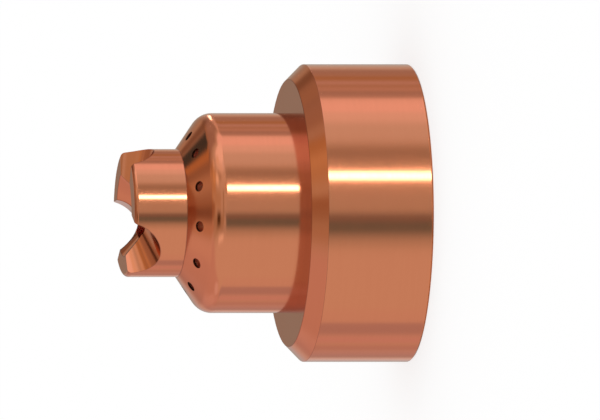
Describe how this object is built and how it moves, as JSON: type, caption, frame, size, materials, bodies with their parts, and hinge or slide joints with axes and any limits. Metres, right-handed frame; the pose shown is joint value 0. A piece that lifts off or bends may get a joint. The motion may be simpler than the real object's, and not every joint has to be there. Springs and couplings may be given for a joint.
{
  "type": "plasma torch shield",
  "caption": "Turned copper shield cup for a plasma cutting torch, with a threaded skirt, vented cone and notched, countersunk nose.",
  "frame": {"origin": "centre of the open rear face, which it stands on", "axes": "+Z along the torch axis, towards the nose; one prong of the nose points along -Y"},
  "size_m": [0.0336, 0.0336, 0.0325],
  "materials": {
    "copper": null
  },
  "bodies": {
    "root": {"shield": "copper"}
  },
  "joints": []
}
